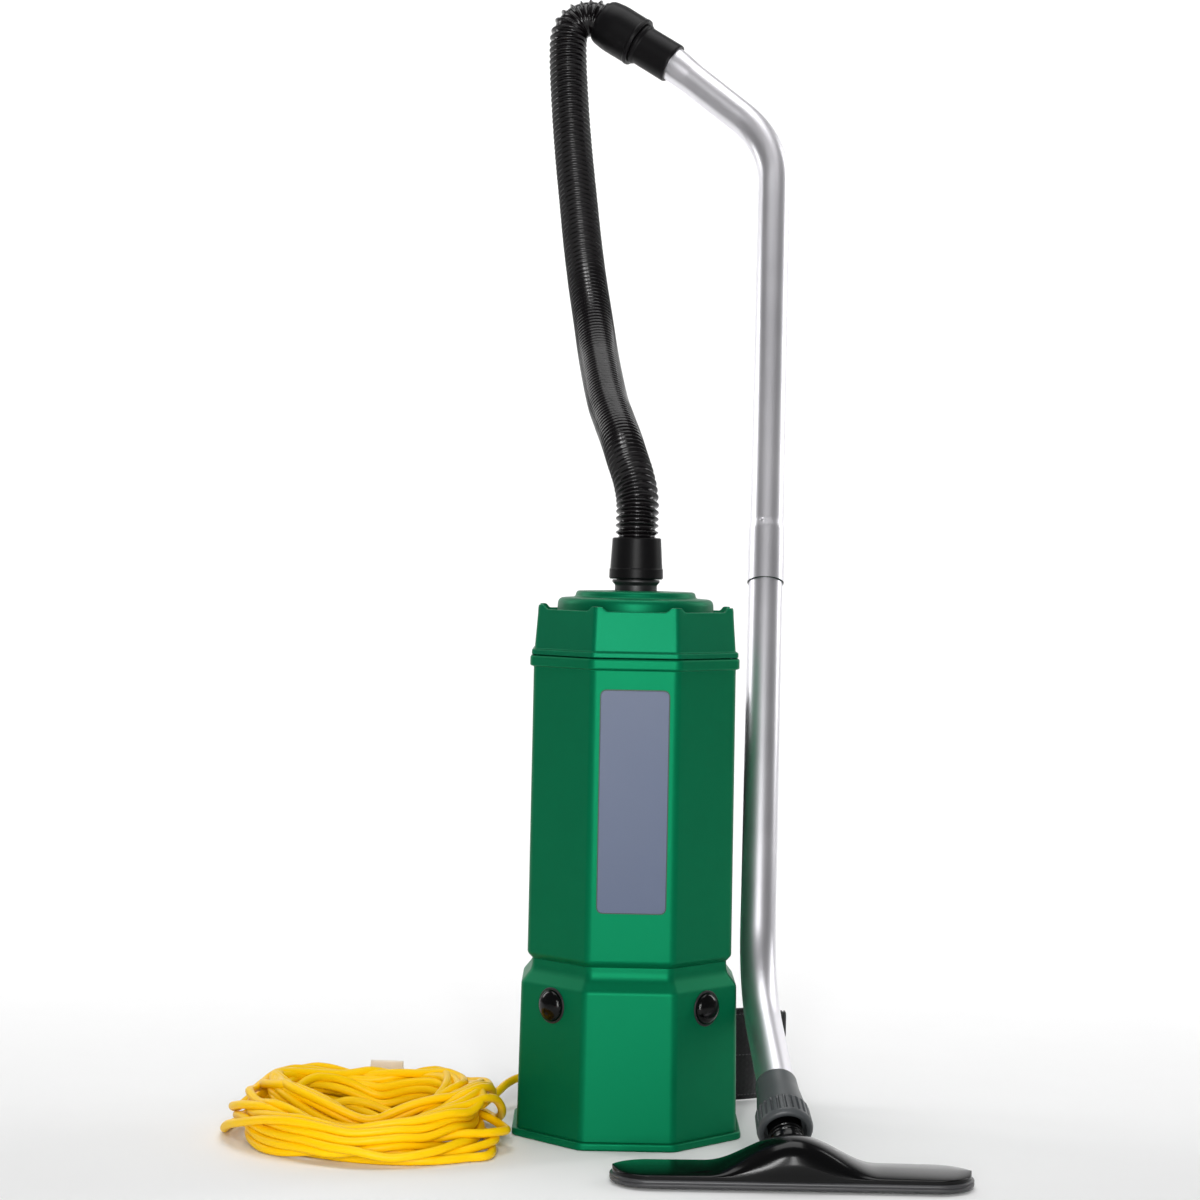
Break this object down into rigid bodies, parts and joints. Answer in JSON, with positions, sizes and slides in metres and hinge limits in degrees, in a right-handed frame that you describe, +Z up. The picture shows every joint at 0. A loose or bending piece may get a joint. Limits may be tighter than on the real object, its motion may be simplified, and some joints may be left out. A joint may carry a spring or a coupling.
{
  "type": "backpack vacuum cleaner",
  "caption": "Upright eight-sided backpack vacuum canister with harness, corrugated hose, bent metal wand, hard-floor tool and coiled yellow power cord.",
  "frame": {"origin": "middle of the underside of the base plate, on the floor", "axes": "+Z up, the badge faces -Y, the harness is on +Y, the wand stands at +X"},
  "size_m": [0.7572, 0.7466, 1.2895],
  "materials": {
    "green_gloss": "gloss moulded green",
    "green_lid": "gloss moulded green",
    "black_gloss": "gloss black",
    "black_satin": "satin black",
    "black_rubber": "soft black",
    "hose_vinyl": "ribbed black vinyl",
    "tube_metal": "polished aluminium tube",
    "sleeve_grey": "smooth dark grey",
    "ring_grey": "knurled dark grey",
    "badge_blue": "plain grey-blue plate",
    "filter_white": "pleated filter felt",
    "bag_paper": "filter paper",
    "motor_metal": "cast motor casing",
    "switch_red": "red rocker",
    "bristle": "dense black bristle",
    "harness_fabric": "padded black fabric",
    "webbing": "woven webbing",
    "cord_yellow": "smooth yellow jacket",
    "tag_white": "blank tag",
    "brass": "bright brass"
  },
  "bodies": {
    "canister": {"base_plate": "green_gloss", "motor_base": "green_gloss", "joint_ring": "green_gloss", "main_shell": "green_gloss", "badge_plate": "badge_blue", "base_knobs": "black_gloss", "exhaust_filter": "filter_white", "motor_mount": "black_satin", "suction_motor": "motor_metal", "motor_cap": "black_satin", "dome_filter": "filter_white", "dust_bag": "bag_paper", "bag_collar": "bag_paper", "switch_bezel": "black_satin", "hose": "hose_vinyl", "wand_cuff": "black_rubber", "upper_wand": "tube_metal", "lower_wand": "tube_metal", "wand_sleeve": "sleeve_grey", "back_plate": "black_satin", "plate_brackets": "black_satin", "back_pad": "harness_fabric", "strap_left": "harness_fabric", "strap_right": "harness_fabric", "strap_adjusters": "black_satin", "strap_webbing": "webbing", "belt_pad": "harness_fabric", "belt_wing_left": "harness_fabric", "belt_wing_right": "harness_fabric", "belt_webbing": "webbing", "buckle_socket": "black_satin", "buckle_tongue": "black_satin", "cord_gland": "black_rubber", "cord_tube": "cord_yellow", "cord_coil": "cord_yellow", "cord_tag": "tag_white", "plug_body": "cord_yellow", "plug_blades": "brass"},
    "rocker": {"switch_rocker": "switch_red"},
    "lid": {"lid": "green_lid", "lid_gasket": "black_rubber", "hose_port": "black_satin"},
    "cuff": {"canister_cuff": "black_rubber"},
    "collar": {"hose_collar": "black_rubber"},
    "ring": {"lock_ring": "ring_grey"},
    "neck": {"tool_neck": "black_gloss"},
    "floor_tool": {"tool_shell": "black_gloss", "tool_plate": "black_satin", "tool_bumper": "black_rubber", "front_bristles": "bristle", "rear_bristles": "bristle"}
  },
  "joints": [
    {"name": "lid_lift", "type": "slide", "parent": "canister", "child": "lid", "axis": [0, 0, 1], "range_m": [0, 0.04], "deforming": ["hose"]},
    {"name": "cuff_turn", "type": "hinge", "parent": "lid", "child": "cuff", "pos_m": [0, 0, 0.6], "axis": [0, 0, 1], "continuous": true, "deforming": ["hose"]},
    {"name": "collar_turn", "type": "hinge", "parent": "canister", "child": "collar", "pos_m": [-0.01075, 0.42366, 1.23883], "axis": [-0.8246, 0.2114, 0.5248], "continuous": true, "deforming": ["hose"]},
    {"name": "ring_turn", "type": "hinge", "parent": "canister", "child": "ring", "pos_m": [0.15446, -0.18904, 0.04881], "axis": [0.09, -0.8553, -0.5102], "range_deg": [0, 60]},
    {"name": "tool_swivel", "type": "hinge", "parent": "canister", "child": "neck", "pos_m": [0.15923, -0.23438, 0.02177], "axis": [0.09, -0.8553, -0.5102], "range_deg": [-30, 30]},
    {"name": "tool_tilt", "type": "hinge", "parent": "neck", "child": "floor_tool", "pos_m": [0.15923, -0.23438, 0.02177], "axis": [1, 0, 0], "range_deg": [-15, 8]},
    {"name": "switch_rock", "type": "hinge", "parent": "canister", "child": "rocker", "pos_m": [0.07601, 0.07601, 0.118], "axis": [-0.7071, 0.7071, 0], "range_deg": [-8, 8]}
  ]
}
